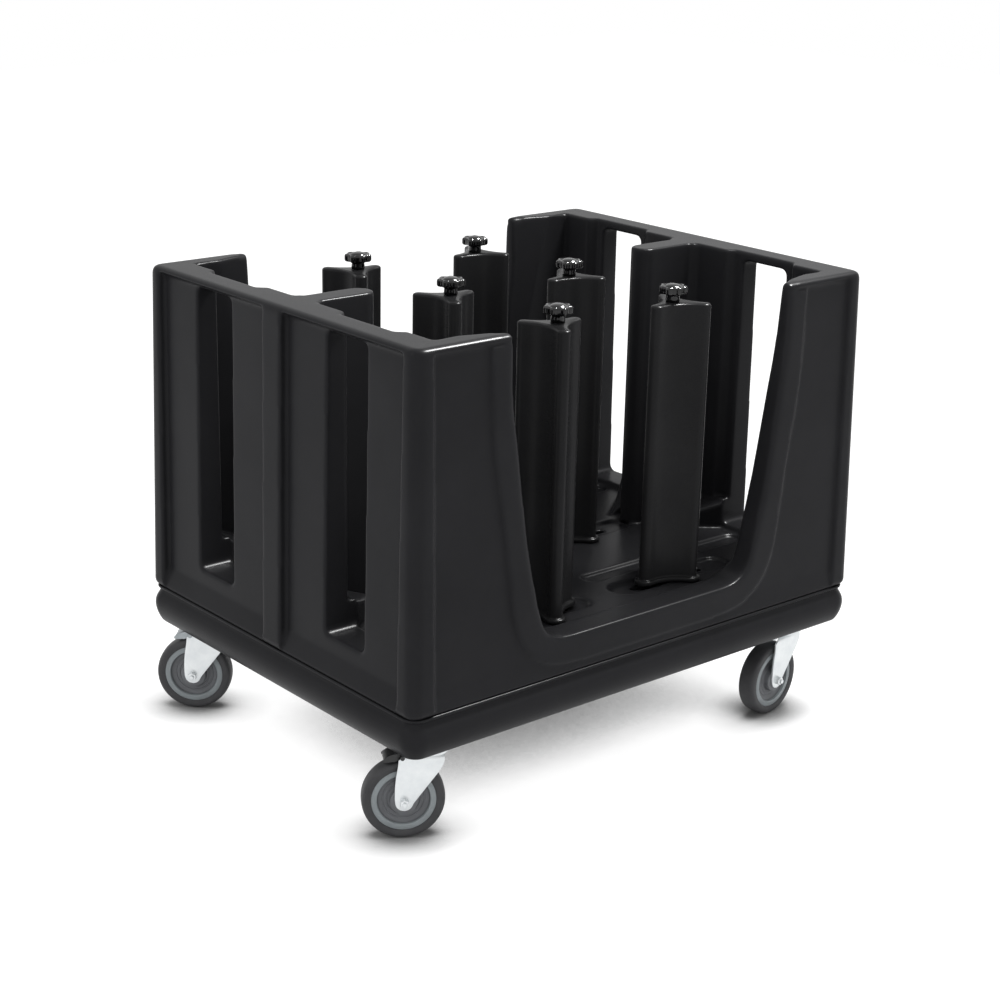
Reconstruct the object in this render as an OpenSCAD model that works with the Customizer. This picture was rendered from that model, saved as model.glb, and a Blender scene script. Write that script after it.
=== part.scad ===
// Dish cart: a deep open-fronted moulded body on four swivel casters.
// Six three-armed towers slide along slots in the floor and are clamped from above by star knobs.
// Millimetres. X runs along the long side, Y through the depth, Z up from the ground.
// The front is at -Y, the braked casters are at -X.

/* [Body] */
// length over the bumper
body_l = 953; // [930:1:976]
// depth over the bumper
body_w = 728; // [722:1:740]
// height of the corner posts above the ground
body_h = 772; // [750:1:800]
// lean of the outer faces, in degrees
draft_deg = 1; // [0.6:0.1:1.2]
// plan radius of the bumper corners
bumper_r = 31; // [29:1:35]
// plan radius of the corner posts
post_r = 20; // [18:1:24]
// distance from the bumper's bulge to the top of the corner posts
post_inset = 13; // [11:0.5:14]
// rounding of the body's outer top edge
edge_r = 9; // [6:0.5:12]
// thickness of the front and back panels at the top
panel_t = 41; // [39:0.5:42]
// thickness of the end walls at the posts, measured at the top
wall_t = 63.5; // [60:0.5:66]
// depth of the recessed end panels behind the post faces
recess_depth = 13; // [10:0.5:15]
// depth of the recessed panels in the front and back
front_recess_depth = 7; // [6:0.5:9]
// height of the band round the front and back openings over those panels
band_rise = 5.5; // [3:0.5:6]
// width of the raised band round the openings at the top
band_w = 40; // [36:1:44]
// width of the recessed panels between the band and the posts at the top
side_panel_w = 102; // [94:1:110]

/* [End walls] */
// width of the slots in the end walls
slot_w = 98; // [90:1:104]
// distance from the slots' middles to the front and back panels
slot_side = 135; // [132:1:138]
// height of the slots' lower edge above the floor deck
slot_rise = 9; // [6:1:14]
// distance from the slots to the top of the wall
slot_top_gap = 15; // [13:1:20]
// corner radius of the slots
slot_r = 12; // [10:1:16]
// radius of the outer centre rib
rib_r = 27; // [25:0.5:29]
// thickness of the inner fin
fin_t = 45; // [40:1:48]
// reach of the inner fin from the wall
fin_reach = 120; // [110:1:124]

/* [Base and floor] */
// height of the bumper band, on which the walls stand
bumper_h = 66; // [64:0.5:68]
// height of the floor deck above the bumper band
deck_rise = 50; // [48:0.5:52]
// thickness of the floor deck
deck_t = 28; // [26:0.5:30]
// height of the front and back sills above the floor deck
sill_rise = 10; // [8:0.5:12]
// depth of the shallow tracks in the floor
track_depth = 6; // [4:0.5:8]
// width of the tracks round the tower slots
track_w = 48; // [44:1:50]
// width of the long drain troughs
trough_w = 34; // [30:1:36]
// height of the stacking wedges at the end walls
wedge_h = 46; // [40:1:50]

/* [Towers] */
// distance from the top of the corner posts down to the tower tops
tower_drop = 28; // [24:1:36]
// radius on which the arm tips are centred
arm_r = 46; // [44:0.5:47]
// shift of the tower section from its rod towards the end wall
tower_shift = 7; // [5:0.5:9]
// rounding radius of the arm tips
tip_r = 10.5; // [9.5:0.5:11]
// distance from the axis to the hollow sides
waist_r = 22.5; // [21:0.5:24]
// width of the foot flange round the tower
foot_flange = 6; // [4:0.5:7]
// height of the foot flange
foot_h = 8; // [6:0.5:10]
// distance of the outer tower rows from the front and back panels
row_side = 70; // [66:1:74]
// nearest place of a tower axis to the middle of the cart
travel_in = 75; // [72:1:78]
// nearest place of a tower axis to the end wall
travel_end = 175; // [174:1:180]

/* [Clamping] */
// radius of the clamping rod
rod_r = 5; // [4.5:0.5:5.5]
// height of the knob's middle above the tower
knob_rise = 19; // [18:0.5:22]
// radius over the knob's lobes
knob_r = 23; // [21.5:0.5:24.5]
// thickness of the knob's grip
knob_t = 14; // [12.5:0.5:15.5]
// radius of the knob's stem
stem_r = 12; // [11:0.5:13]
// number of lobes round the knob
knob_lobes = 7; // [6:1:8]
// length of the clamp plate along the slot
clamp_l = 50; // [46:1:54]
// width of the clamp plate
clamp_w = 30; // [28:1:32]
// thickness of the clamp plate
clamp_t = 8; // [7:0.5:9]

/* [Casters] */
// wheel diameter
wheel_d = 127; // [125:0.5:129]
// tread width
tread_w = 32; // [30:0.5:33]
// thickness of the tyre
tyre_t = 14.5; // [13:0.5:17]
// clearance between the tyre and the fork's yoke
tyre_top_gap = 7; // [6:0.5:9]
// distance of the swivel axes from the ends of the bumper
caster_end = 87.5; // [86:0.5:90]
// distance of the swivel axes from the sides of the bumper
caster_side = 71; // [70:0.5:72]
// offset of the wheel axle from the swivel axis
trail = 38; // [36:0.5:39]
// heading of the front left wheel from its swivel axis, in degrees
head_lf_deg = 148; // [146:1:150]
// heading of the back left wheel
head_lb_deg = 136; // [134:1:138]
// heading of the front right wheel
head_rf_deg = 187; // [185:1:189]
// heading of the back right wheel
head_rb_deg = 32; // [30:1:34]

/* [Where the towers stand] */
// front left tower axis along X
stand_lf = -108; // [-112:1:-104]
// middle left tower axis along X
stand_lm = -122; // [-126:1:-118]
// back left tower axis along X
stand_lb = -128; // [-132:1:-124]
// front right tower axis along X
stand_rf = 134; // [130:1:138]
// middle right tower axis along X
stand_rm = 130; // [126:1:134]
// back right tower axis along X
stand_rb = 124; // [120:1:128]

/* [Hidden] */

// clearances
seat_gap = 0.3;
run_gap = 0.06;
thread_gap = 0.05;
cut_over = 4;

// colours
body_tint = [0.13, 0.13, 0.14];
tower_tint = [0.11, 0.11, 0.12];
knob_tint = [0.07, 0.07, 0.08];
tyre_tint = [0.24, 0.24, 0.25];
core_tint = [0.5, 0.52, 0.53];
zinc_tint = [0.82, 0.84, 0.85];

// casters, from the ground up
wheel_r = wheel_d / 2;
core_r = wheel_r - tyre_t;
plate_t = 4;
plate_l = 105;
plate_w = 85;
plate_corner = 9;
hole_x = 40;
hole_y = 30;
hole_r = 4.5;
bolt_r = 4;
bolt_head_r = 7.5;
bolt_head_h = 5.3;
bolt_len = 24;
insert_r = 6.5;
insert_len = 28;
dome_r = 27;
dome_h = 8;
pin_r = 6;
pin_head_r = 11;
pin_head_h = 3.4;
ring_h = 2.4;
ring_in = 19;
ring_out = 26;
crown_r = 31;
crown_t = 7;
yoke_t = 6;
yoke_low = wheel_d + tyre_top_gap;
crown_low = yoke_low + yoke_t;
crown_top = crown_low + crown_t;
dome_low = crown_top + ring_h + 2 * seat_gap;
plate_low = dome_low + dome_h;
base_low = plate_low + plate_t;
ear_t = 3;
tyre_side_gap = 3;
ear_gap = tread_w / 2 + tyre_side_gap;
ear_out = ear_gap + ear_t;
axle_r = 4.5;
axle_head_r = 8;
axle_head_h = 5.3;
nut_h = 8;
axle_end = 4;
pivot_over = 10;
pivot_drop = 4.5;
pivot_r = 3.5;
pivot_x = crown_r + pivot_over;
pivot_z = crown_low - pivot_drop;
ear_front = 22;
ear_mid_over = 10;
ear_back_over = 6;
ear_mid = pivot_x + ear_mid_over;
ear_back = pivot_x + ear_back_over;
yoke_back = crown_r;
ear_tip_r = 14;
ear_tip_share = 0.957;
ear_diagonal_share = 0.67;
ear_mid_share = 0.74;
ear_back_share = 0.925;
ear_tip_rise = 1.5;
hub_r = 21;
hub_half = ear_gap - seat_gap;
web_t = 14;
rim_t = 9;
rim_step = 2;
rim_in = core_r - rim_t;
rim_w = tread_w - 2 * rim_step;
tyre_round = 6;
crown_rise = 1.5;
tread_flat_share = 0.333;

// brakes
brake_half = 15;
boss_r = 5.5;
pedal_len = 37;
pedal_tip_h = 8;
shoe_gap = 1.05;
shoe_front_deg = 13.5;
shoe_back_deg = 18;
shoe_lift = 2.2;
back_x_shares = [-1, -0.64, 1.1, 3.64];
back_z_shares = [0.45, 1, 1.09, 1.18];
boss_x_shares = [0.73, -0.64, -1];
boss_z_shares = [-1, -0.91, -0.45];

// body outline
seam_z = base_low + bumper_h;
deck_top = seam_z + deck_rise;
sill_z = deck_top + sill_rise;
half_l = body_l / 2;
half_w = body_w / 2;
top_hx = half_l - post_inset;
top_hy = half_w - post_inset;
lean = tan(draft_deg);
function out_x(z) = top_hx + (body_h - z) * lean;
function out_y(z) = top_hy + (body_h - z) * lean;
deck_hx = top_hx - wall_t;
deck_hy = top_hy - panel_t;
deck_low = deck_top - deck_t;
slice = edge_r / 20;
far = body_l;
edge_inset_shares = [0, 0, 0.29, 1];
edge_drop_shares = [1, 1, 0.29, 0];

// rounding at the lower end of the walls, from the seam up
foot_in = 5.4;
foot_round = 10;
foot_inset_shares = [1, 0.45, 0.12, 0];
foot_height_shares = [0, 0.25, 0.6, 1];

// bumper section, inset from the bulge against height above the base's underside
seam_inset = half_l - out_x(seam_z) + foot_in;
bumper_inset_shares = [1.32, 1.05, 0.82, 0.63, 0.44, 0.28, 0.13, 0.04, 0, 0.05, 0.2, 0.42, 0.68,
                       0.9, 0.98, 1, 0.98];
bumper_height_shares = [0, 0.045, 0.1, 0.15, 0.21, 0.27, 0.35, 0.42, 0.485, 0.58, 0.65, 0.71, 0.765,
                        0.818, 0.864, 0.91, 0.955];
groove_depth = 9.5;
bumper_steps = len(bumper_inset_shares);
function bump_in(i) = i < bumper_steps ? bumper_inset_shares[i] * groove_depth : seam_inset;
function bump_z(i) = i < bumper_steps ? base_low + bumper_height_shares[i] * bumper_h : seam_z;
core_x = half_l - bumper_r;
core_y = half_w - bumper_r;

// recessed panels
flare_h = 35;
recess_gap = 15;
recess_side = 31;
post_side = 33.5;
flare_foot_share = 0.2;
rib_edge_share = 0.9;
fin_root = 13;
recess_low = seam_z + flare_h;
post_x = top_hx - post_side;
band_half = post_x - side_panel_w;
opening_half = band_half - band_w;
slot_y = deck_hy - slot_side;
slot_low = deck_top + slot_rise;

// opening in the front and back panels and the band round it, from the top down:
// heights as shares of the height above the sill or the band's foot, widths as shares of the top width
opening_height_shares = [0.8306, 0.748, 0.7066, 0.655, 0.5826, 0.5207, 0.438, 0.345, 0.252, 0.2004,
                         0.159, 0.1136, 0.0826, 0.0558, 0.0351, 0.0186, 0.0083, 0.0031, 0];
opening_width_shares = [0.988, 0.976, 0.967, 0.953, 0.936, 0.922, 0.904, 0.8806, 0.849, 0.83,
                        0.814, 0.7986, 0.782, 0.764, 0.743, 0.708, 0.67, 0.628, 0.5625];
band_height_shares = [0.889, 0.791, 0.694, 0.5965, 0.5185, 0.4366, 0.3626, 0.304, 0.2359, 0.1793,
                      0.1384, 0.1092, 0.0799, 0.0546, 0.0351, 0.0205, 0.0117, 0.0049, 0];
band_width_shares = [0.997, 0.991, 0.979, 0.957, 0.933, 0.9116, 0.898, 0.884, 0.8704, 0.855,
                     0.835, 0.814, 0.7835, 0.747, 0.704, 0.6524, 0.6006, 0.5335, 0.427];
band_foot = 19;
band_low = recess_low - band_foot;
band_top = body_h - recess_gap;

// taper on the inner face of the front and back, thinning them towards the opening
taper_w = 68;
taper_depth = 20;
taper_lean_deg = 13;
taper_foot = 14;
taper_h = (body_h - sill_z - taper_foot) / cos(taper_lean_deg);

// inner hollows of the end walls beside the slots
relief_depth = 14;
relief_side = 27;
relief_lip = 12;
relief_rise = 6;
relief_half = slot_w / 2 + relief_side;
relief_low = deck_top + wedge_h + relief_rise;

// floor
row_y = deck_hy - row_side;
travel_out = deck_hx - travel_end;
track_in_run = 45;
track_out_run = 60;
trough_shift = 3;
trough_end = 8;
slot_play = 1;
track_in = travel_in - track_in_run;
track_out = travel_out + track_out_run;
trough_y = slot_y - trough_shift;
trough_in = track_in;
trough_out = deck_hx - trough_end;
rod_slot_w = 2 * rod_r + slot_play;
track_round_share = 0.48;
trough_round_share = 0.45;
wedge_reach = 112;
wedge_tip_side = 4.5;
wedge_tip_h = 3;
wedge_base_half = slot_y - slot_w / 2;
wedge_tip_half = fin_t / 2 + fin_root + wedge_tip_side;
corner_wedge_reach = 90;

// towers and clamping
tower_top = body_h - tower_drop;
knob_z = tower_top + knob_rise;
plate_top = deck_low - seat_gap;
rail_t = 5;
rail_h = 12;
rail_l = travel_out - travel_in + clamp_l + rail_h;
rod_low = deck_low - clamp_t - rail_h + seat_gap;
rod_top = knob_z - seat_gap;
knob_low = knob_z - knob_t / 2;
knob_high = knob_z + knob_t / 2;
cap_h = 1.6;
cap_r = 14;
lobe_r = 5.2;
grip_share = 0.8;
cap_top_share = 0.8;

// hollow under the base, between the caster pads and the outer band
caster_x = half_l - caster_end;
caster_y = half_w - caster_side;
base_wall = 14;
pad_end = 14.5;
pad_side = 45.5;
hollow_hx = caster_x - plate_l / 2 - pad_end;
hollow_hy = deck_hy - base_wall;
side_hollow_hx = deck_hx - base_wall;
side_hollow_hy = caster_y - plate_w / 2 - pad_side;

// a rounded rectangle as a ring of points
arc_steps = 8;
function rounded_points(l, w, r) = [
    for (q = [0 : 3], s = [0 : arc_steps])
        let (a = 90 * q + 90 * s / arc_steps,
             sx = (q == 0 || q == 3) ? 1 : -1,
             sy = q < 2 ? 1 : -1)
        [sx * (l / 2 - r) + r * cos(a), sy * (w / 2 - r) + r * sin(a)]
];

// the outside of the upper body, leaning and rounded at the top
module outer_shell() {
    hull()
        for (sx = [-1, 1], sy = [-1, 1]) {
            for (k = [0 : 3]) {
                z = seam_z + foot_height_shares[k] * foot_round;
                translate([sx * (out_x(z) - post_r), sy * (out_y(z) - post_r), z])
                    cylinder(h = slice, r = post_r - foot_inset_shares[k] * foot_in, $fn = 48);
            }
            for (k = [1 : 3]) {
                z = body_h - edge_drop_shares[k] * edge_r;
                translate([sx * (out_x(z) - post_r), sy * (out_y(z) - post_r), z - slice])
                    cylinder(h = slice, r = post_r - edge_inset_shares[k] * edge_r, $fn = 48);
            }
        }
}

// a block given by its lowest and highest corners
module span(low, high) {
    translate(low) cube(high - low);
}

// side profile of an end recess, with its sloping foot
function recess_side_points() = [
    [out_x(seam_z) - post_inset * flare_foot_share, seam_z],
    [out_x(recess_low) - recess_depth, recess_low],
    [out_x(body_h - recess_gap) - recess_depth, body_h - recess_gap],
    [out_x(body_h - recess_gap) - recess_depth / 2, body_h - recess_gap / 2],
    [far, body_h - recess_gap / 2],
    [far, seam_z]
];

module end_recess(y_low, y_high) {
    translate([0, y_high, 0])
        rotate([90, 0, 0])
            linear_extrude(height = y_high - y_low)
                polygon(recess_side_points());
}

module end_slot(y) {
    slot_high = body_h - slot_top_gap;
    translate([deck_hx - cut_over, y, (slot_low + slot_high) / 2])
        rotate([90, 0, 90])
            linear_extrude(height = far)
                polygon(rounded_points(slot_w, slot_high - slot_low, slot_r));
}

module wall_relief(y) {
    translate([deck_hx, y, relief_low])
        linear_extrude(height = body_h)
            polygon([
                [-cut_over, -relief_half - relief_lip],
                [0, -relief_half],
                [relief_depth, -relief_half + relief_lip],
                [relief_depth, relief_half - relief_lip],
                [0, relief_half],
                [-cut_over, relief_half + relief_lip]
            ]);
}

module outer_rib() {
    rib_low = recess_low - recess_gap - cut_over;
    intersection() {
        outer_shell();
        translate([top_hx - rib_r, 0, body_h + cut_over])
            rotate([0, 180 - draft_deg, 0])
                cylinder(h = body_h + cut_over - rib_low, r = rib_r, $fn = 64);
    }
}

module inner_fin() {
    tip_x = deck_hx - fin_reach + fin_t / 2;
    translate([0, 0, deck_top])
        linear_extrude(height = body_h - deck_top)
            polygon(concat(
                [for (s = [0 : 2 * arc_steps])
                    let (a = 90 + 180 * s / (2 * arc_steps))
                    [tip_x + fin_t / 2 * cos(a), fin_t / 2 * sin(a)]],
                [[deck_hx - fin_root, -fin_t / 2],
                 [deck_hx, -fin_t / 2 - fin_root],
                 [deck_hx, fin_t / 2 + fin_root],
                 [deck_hx - fin_root, fin_t / 2]]
            ));
}

module end_wall() {
    difference() {
        intersection() {
            outer_shell();
            union() {
                span([deck_hx, -deck_hy, seam_z], [far, deck_hy, far]);
                span([post_x, -far, seam_z], [far, far, far]);
            }
        }
        end_recess(rib_r * rib_edge_share, top_hy - recess_side);
        end_recess(-top_hy + recess_side, -rib_r * rib_edge_share);
        end_slot(slot_y);
        end_slot(-slot_y);
        wall_relief(slot_y);
        wall_relief(-slot_y);
    }
    outer_rib();
}

module end_wall_right() {
    color(body_tint) end_wall();
}

module end_wall_left() {
    color(body_tint) mirror([1, 0, 0]) end_wall();
}

module fin_right() {
    color(body_tint) inner_fin();
}

module fin_left() {
    color(body_tint) mirror([1, 0, 0]) inner_fin();
}

// outlines of the opening and of the band round it, in X and Z
function opening_x(i) = opening_half * opening_width_shares[i];
function opening_z(i) = sill_z + (body_h - sill_z) * opening_height_shares[i];
opening_last = len(opening_height_shares) - 1;
function opening_points() = concat(
    [[opening_half, far]],
    [for (i = [0 : opening_last]) [opening_x(i), opening_z(i)]],
    [for (i = [opening_last : -1 : 0]) [-opening_x(i), opening_z(i)]],
    [[-opening_half, far]]
);

function band_x(i) = band_half * band_width_shares[i];
function band_z(i) = band_low + (band_top - band_low) * band_height_shares[i];
band_last = len(band_height_shares) - 1;
function band_points() = concat(
    [[band_half, band_top]],
    [for (i = [0 : band_last]) [band_x(i), band_z(i)]],
    [for (i = [band_last : -1 : 0]) [-band_x(i), band_z(i)]],
    [[-band_half, band_top]]
);

module across(points, depth) {
    rotate([90, 0, 0])
        linear_extrude(height = depth)
            polygon(points);
}

// front recess with its sloping foot, left and right of the band
module front_recess() {
    difference() {
        translate([-post_x, 0, 0])
            rotate([90, 0, 90])
                linear_extrude(height = 2 * post_x)
                    polygon([
                        [-out_y(seam_z) + post_inset * flare_foot_share, seam_z],
                        [-out_y(recess_low) + front_recess_depth, recess_low],
                        [-out_y(band_top) + front_recess_depth, band_top],
                        [-out_y(band_top) + front_recess_depth / 2, body_h - recess_gap / 2],
                        [-far, body_h - recess_gap / 2],
                        [-far, seam_z]
                    ]);
        across(band_points(), far);
    }
}

module band_face() {
    intersection() {
        translate([-post_x, 0, 0])
            rotate([90, 0, 90])
                linear_extrude(height = 2 * post_x)
                    polygon([
                        [-out_y(band_low) + front_recess_depth - band_rise, band_low - cut_over],
                        [-out_y(band_top) + front_recess_depth - band_rise, band_top],
                        [-far, band_top],
                        [-far, band_low - cut_over]
                    ]);
        across(band_points(), far);
    }
}

// leaning wedge that thins the inner face beside the opening
module flange_taper() {
    translate([opening_half + taper_w, -deck_hy, body_h])
        rotate([0, taper_lean_deg, 0])
            translate([0, 0, -taper_h])
                linear_extrude(height = taper_h + taper_w)
                    polygon([
                        [0, 0],
                        [-2 * taper_w, -2 * taper_depth],
                        [-2 * taper_w, taper_depth],
                        [0, taper_depth]
                    ]);
}

module panel() {
    difference() {
        intersection() {
            outer_shell();
            span([-post_x, -far, seam_z], [post_x, -deck_hy, far]);
        }
        front_recess();
        band_face();
        across(opening_points(), far);
        flange_taper();
        mirror([1, 0, 0]) flange_taper();
    }
}

module panel_front() {
    color(body_tint) panel();
}

module panel_back() {
    color(body_tint) mirror([0, 1, 0]) panel();
}

// base: bumper band with rolled section, pads for the casters, open underneath
module bumper_end() {
    translate([0, core_y, 0])
        rotate([90, 0, 0])
            linear_extrude(height = 2 * core_y)
                polygon(concat(
                    [[0, base_low]],
                    [for (i = [0 : bumper_steps]) [half_l - bump_in(i), bump_z(i)]],
                    [[0, seam_z]]
                ));
}

module bumper_middle() {
    translate([-core_x, 0, 0])
        rotate([90, 0, 90])
            linear_extrude(height = 2 * core_x)
                polygon(concat(
                    [for (i = [0 : bumper_steps]) [half_w - bump_in(i), bump_z(i)]],
                    [for (i = [bumper_steps : -1 : 0]) [bump_in(i) - half_w, bump_z(i)]]
                ));
}

module bumper_corner() {
    translate([core_x, core_y, 0])
        rotate_extrude(angle = 90, $fn = 96)
            polygon(concat(
                [[0, base_low]],
                [for (i = [0 : bumper_steps]) [bumper_r - bump_in(i), bump_z(i)]],
                [[0, seam_z]]
            ));
}

module base_moulding() {
    color(body_tint)
    difference() {
        union() {
            bumper_middle();
            bumper_end();
            mirror([1, 0, 0]) bumper_end();
            for (sx = [0, 1], sy = [0, 1])
                mirror([sx, 0, 0]) mirror([0, sy, 0]) bumper_corner();
            span([-deck_hx, -deck_hy, seam_z - cut_over], [deck_hx, deck_hy, deck_low]);
        }
        span([-hollow_hx, -hollow_hy, base_low - cut_over], [hollow_hx, hollow_hy, deck_top]);
        span([-side_hollow_hx, -side_hollow_hy, base_low - cut_over],
             [side_hollow_hx, side_hollow_hy, deck_top]);
        for (sx = [-1, 1], sy = [-1, 1])
            translate([sx * caster_x, sy * caster_y, base_low - cut_over]) {
                cylinder(h = cut_over + pin_head_h + seat_gap, r = pin_head_r + seat_gap, $fn = 48);
                for (hx = [-1, 1], hy = [-1, 1])
                    translate([hx * hole_x, hy * hole_y, 0])
                        cylinder(h = cut_over + insert_len + seat_gap, r = insert_r + run_gap, $fn = 32);
            }
    }
}

// floor deck with tower tracks, rod slots, drain troughs and rails under it
module floor_deck() {
    color(body_tint) {
        difference() {
            span([-deck_hx, -deck_hy, deck_low], [deck_hx, deck_hy, deck_top]);
            for (sx = [-1, 1]) {
                for (row = [-1, 0, 1]) {
                    translate([sx * (track_in + track_out) / 2, row * row_y, deck_top - track_depth])
                        linear_extrude(height = deck_t)
                            polygon(rounded_points(track_out - track_in, track_w, track_w * track_round_share));
                    translate([sx * (travel_in + travel_out) / 2, row * row_y, deck_low - cut_over])
                        linear_extrude(height = deck_t + 2 * cut_over)
                            polygon(rounded_points(travel_out - travel_in + rod_slot_w,
                                                   rod_slot_w, rod_slot_w * track_round_share));
                }
                for (sy = [-1, 1])
                    translate([sx * (trough_in + trough_out) / 2, sy * trough_y, deck_top - track_depth])
                        linear_extrude(height = deck_t)
                            polygon(rounded_points(trough_out - trough_in, trough_w, trough_w * trough_round_share));
            }
        }
        for (sx = [-1, 1], row = [-1, 0, 1], side = [-1, 1])
            translate([sx * (travel_in + travel_out) / 2,
                       row * row_y + side * (clamp_w / 2 + seat_gap + rail_t / 2),
                       deck_low - rail_h / 2 + seat_gap])
                cube([rail_l, rail_t, rail_h + 2 * seat_gap], center = true);
    }
}

// stacking wedges: one in the middle of each end wall and one in each corner
module middle_wedge() {
    hull() {
        span([deck_hx - wedge_tip_h, -wedge_base_half, deck_top],
             [deck_hx, wedge_base_half, deck_top + wedge_h]);
        span([deck_hx - wedge_reach, -wedge_tip_half, deck_top],
             [deck_hx - wedge_reach + wedge_tip_h, wedge_tip_half, deck_top + wedge_tip_h]);
    }
}

module corner_wedge() {
    hull() {
        span([deck_hx - wedge_tip_h, slot_y + slot_w / 2, deck_top],
             [deck_hx, deck_hy, deck_top + wedge_h]);
        span([deck_hx - corner_wedge_reach, deck_hy - wedge_tip_h, deck_top],
             [deck_hx, deck_hy, deck_top + wedge_tip_h]);
    }
}

module floor_wedges() {
    color(body_tint)
        for (sx = [0, 1])
            mirror([sx, 0, 0]) {
                difference() {
                    middle_wedge();
                    span([0, -fin_t / 2 - fin_root - cut_over, 0],
                         [far, fin_t / 2 + fin_root + cut_over, far]);
                }
                corner_wedge();
                mirror([0, 1, 0]) corner_wedge();
            }
}

// tower section: three rounded arms joined by hollow sides
side_r = (arm_r * arm_r + waist_r * waist_r - arm_r * waist_r - tip_r * tip_r)
         / (2 * tip_r - 2 * waist_r + arm_r);
side_c = waist_r + side_r;
tip_half = atan2(side_c * sin(60), side_c * cos(60) - arm_r);
side_half = asin(arm_r * sin(60) / (side_r + tip_r));
tip_steps = 8;
side_steps = 8;
function star_points(grow) = [
    for (k = [0 : 2]) each concat(
        [for (s = [0 : tip_steps])
            let (a = 120 * k - tip_half + 2 * tip_half * s / tip_steps)
            [arm_r * cos(120 * k) + (tip_r + grow) * cos(a),
             arm_r * sin(120 * k) + (tip_r + grow) * sin(a)]],
        [for (s = [1 : side_steps - 1])
            let (m = 120 * k + 60, a = m + 180 + side_half - 2 * side_half * s / side_steps)
            [side_c * cos(m) + (side_r - grow) * cos(a),
             side_c * sin(m) + (side_r - grow) * sin(a)]]
    )
];

// turn is 0 for the left towers and 180 for the right ones
module tower(x, row, turn) {
    translate([x, row * row_y, 0]) {
        difference() {
            rotate([0, 0, turn]) {
                translate([-tower_shift, 0, deck_top + seat_gap])
                    linear_extrude(height = foot_h)
                        polygon(star_points(foot_flange));
                translate([-tower_shift, 0, deck_top + seat_gap])
                    linear_extrude(height = tower_top - deck_top - seat_gap)
                        polygon(star_points(0));
            }
            translate([0, 0, deck_low])
                cylinder(h = tower_top, r = rod_r + run_gap, $fn = 48);
        }
    }
}

module knob(x, row) {
    translate([x, row * row_y, 0])
        difference() {
            union() {
                translate([0, 0, tower_top + seat_gap])
                    cylinder(h = knob_z - tower_top - seat_gap, r = stem_r, $fn = 48);
                translate([0, 0, knob_low])
                    cylinder(h = knob_t, r = knob_r - lobe_r * grip_share, $fn = 64);
                for (k = [1 : knob_lobes])
                    rotate([0, 0, 360 * k / knob_lobes])
                        translate([knob_r - lobe_r, 0, knob_low])
                            cylinder(h = knob_t, r = lobe_r, $fn = 32);
                translate([0, 0, knob_high - cap_h])
                    cylinder(h = 2 * cap_h, r1 = cap_r, r2 = cap_r * cap_top_share, $fn = 48);
            }
            translate([0, 0, tower_top - cut_over])
                cylinder(h = knob_z - tower_top + cut_over, r = rod_r + thread_gap, $fn = 48);
        }
}

module rod(x, row) {
    translate([x, row * row_y, rod_low])
        cylinder(h = rod_top - rod_low, r = rod_r, $fn = 48);
}

module clamp(x, row) {
    translate([x, row * row_y, plate_top - clamp_t])
        difference() {
            translate([-clamp_l / 2, -clamp_w / 2, 0])
                cube([clamp_l, clamp_w, clamp_t]);
            translate([0, 0, -cut_over])
                cylinder(h = clamp_t + 2 * cut_over, r = rod_r + thread_gap, $fn = 48);
        }
}

module tower_lf() { color(tower_tint) tower(stand_lf, -1, 0); }
module tower_lm() { color(tower_tint) tower(stand_lm, 0, 0); }
module tower_lb() { color(tower_tint) tower(stand_lb, 1, 0); }
module tower_rf() { color(tower_tint) tower(stand_rf, -1, 180); }
module tower_rm() { color(tower_tint) tower(stand_rm, 0, 180); }
module tower_rb() { color(tower_tint) tower(stand_rb, 1, 180); }
module knob_lf() { color(knob_tint) knob(stand_lf, -1); }
module knob_lm() { color(knob_tint) knob(stand_lm, 0); }
module knob_lb() { color(knob_tint) knob(stand_lb, 1); }
module knob_rf() { color(knob_tint) knob(stand_rf, -1); }
module knob_rm() { color(knob_tint) knob(stand_rm, 0); }
module knob_rb() { color(knob_tint) knob(stand_rb, 1); }
module rod_lf() { color(zinc_tint) rod(stand_lf, -1); }
module rod_lm() { color(zinc_tint) rod(stand_lm, 0); }
module rod_lb() { color(zinc_tint) rod(stand_lb, 1); }
module rod_rf() { color(zinc_tint) rod(stand_rf, -1); }
module rod_rm() { color(zinc_tint) rod(stand_rm, 0); }
module rod_rb() { color(zinc_tint) rod(stand_rb, 1); }
module clamp_lf() { color(zinc_tint) clamp(stand_lf, -1); }
module clamp_lm() { color(zinc_tint) clamp(stand_lm, 0); }
module clamp_lb() { color(zinc_tint) clamp(stand_lb, 1); }
module clamp_rf() { color(zinc_tint) clamp(stand_rf, -1); }
module clamp_rm() { color(zinc_tint) clamp(stand_rm, 0); }
module clamp_rb() { color(zinc_tint) clamp(stand_rb, 1); }

// caster hardware fixed under the base
module at_casters() {
    for (sx = [-1, 1], sy = [-1, 1])
        translate([sx * caster_x, sy * caster_y, 0]) children();
}

module at_holes() {
    for (hx = [-1, 1], hy = [-1, 1])
        translate([hx * hole_x, hy * hole_y, 0]) children();
}

module caster_inserts() {
    color(zinc_tint)
        at_casters() at_holes()
            difference() {
                translate([0, 0, base_low])
                    cylinder(h = insert_len, r = insert_r, $fn = 32);
                translate([0, 0, base_low - cut_over])
                    cylinder(h = bolt_len - plate_t + cut_over + seat_gap, r = bolt_r + thread_gap, $fn = 32);
            }
}

module caster_bolts() {
    color(zinc_tint)
        at_casters() at_holes() {
            translate([0, 0, plate_low - bolt_head_h])
                cylinder(h = bolt_head_h, r = bolt_head_r, $fn = 6);
            translate([0, 0, plate_low - bolt_head_h / 2])
                cylinder(h = bolt_head_h / 2 + bolt_len, r = bolt_r, $fn = 32);
        }
}

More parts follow.
